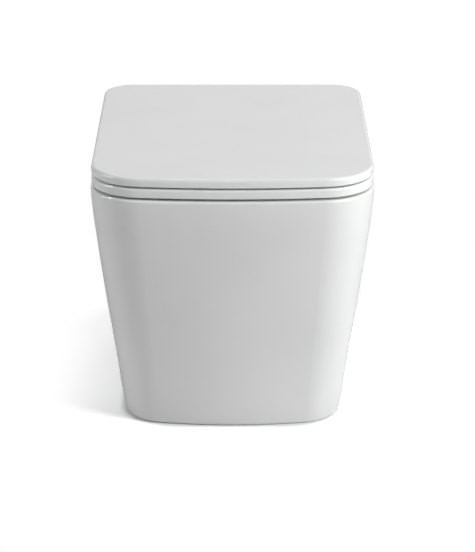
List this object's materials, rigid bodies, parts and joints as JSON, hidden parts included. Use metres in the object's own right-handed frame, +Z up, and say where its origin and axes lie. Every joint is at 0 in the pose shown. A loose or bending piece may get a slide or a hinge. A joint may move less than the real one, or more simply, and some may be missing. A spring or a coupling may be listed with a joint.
{
  "type": "wall hung toilet",
  "caption": "Wall hung toilet: glazed skirted pan with open rimless bowl, trap outlet and flush inlet, under a flat wrap-over soft-close seat and lid that lift off.",
  "frame": {"origin": "midway between the two wall fixing bores, on the plane of the wall face", "axes": "+Z up, +Y towards the wall, so the front looks along -Y, and +X to the right seen from the front"},
  "size_m": [0.3634, 0.5, 0.3685],
  "materials": {
    "white_ceramic": "gloss",
    "white_duroplast": "gloss",
    "clear_rubber": "matte",
    "dark_rubber": "matte",
    "brushed_steel": "brushed",
    "satin_zinc": "satin",
    "machined_steel": "machined",
    "zinc_steel": "zinc plated",
    "brass": "machined",
    "spring_steel": "polished",
    "grey_plastic": "satin",
    "grey_nylon": "matte",
    "white_plastic": "gloss",
    "dark_plastic": "matte"
  },
  "bodies": {
    "pan_body": {"pan": "white_ceramic", "bowl": "white_ceramic", "trapway": "white_ceramic", "flush_channel": "white_ceramic", "wall_bracket_left": "grey_nylon", "clamp_bush_left": "grey_nylon", "clamp_screw_left": "zinc_steel", "cover_cap_left": "white_plastic", "hinge_gasket_left": "dark_rubber", "hinge_base_left": "brushed_steel", "hinge_post_left": "machined_steel", "seat_fixing_bolt_left": "zinc_steel", "expansion_plug_left": "dark_rubber", "plug_nut_left": "brass", "hinge_block_left": "satin_zinc", "hinge_axle_left": "machined_steel", "release_spring_left": "spring_steel", "wall_bracket_right": "grey_nylon", "clamp_bush_right": "grey_nylon", "clamp_screw_right": "zinc_steel", "cover_cap_right": "white_plastic", "hinge_gasket_right": "dark_rubber", "hinge_base_right": "brushed_steel", "hinge_post_right": "machined_steel", "seat_fixing_bolt_right": "zinc_steel", "expansion_plug_right": "dark_rubber", "plug_nut_right": "brass", "hinge_block_right": "satin_zinc", "hinge_axle_right": "machined_steel", "release_spring_right": "spring_steel"},
    "seat_body": {"seat_ring": "white_duroplast", "seat_buffers": "clear_rubber", "seat_damper": "dark_plastic", "seat_hinge_bush": "grey_nylon"},
    "lid_body": {"lid": "white_duroplast", "lid_buffers": "clear_rubber", "lid_damper": "dark_plastic", "lid_hinge_bush": "grey_nylon"},
    "release_button_left_body": {"release_button_left": "grey_plastic"},
    "release_button_right_body": {"release_button_right": "grey_plastic"}
  },
  "joints": [
    {"name": "seat_hinge", "type": "hinge", "parent": "pan_body", "child": "seat_body", "pos_m": [0, -0.05, 0.099], "axis": [-1, 0, 0], "range_deg": [0, 94]},
    {"name": "lid_hinge", "type": "hinge", "parent": "seat_body", "child": "lid_body", "pos_m": [0, -0.05, 0.099], "axis": [-1, 0, 0], "range_deg": [0, 94]},
    {"name": "release_button_left_press", "type": "slide", "parent": "pan_body", "child": "release_button_left_body", "axis": [0, -1, 0], "range_m": [0, 0.003], "stiffness_N_per_m": 900, "springref_m": -0.002, "deforming": ["release_spring_left"]},
    {"name": "release_button_right_press", "type": "slide", "parent": "pan_body", "child": "release_button_right_body", "axis": [0, -1, 0], "range_m": [0, 0.003], "stiffness_N_per_m": 900, "springref_m": -0.002, "deforming": ["release_spring_right"]}
  ]
}
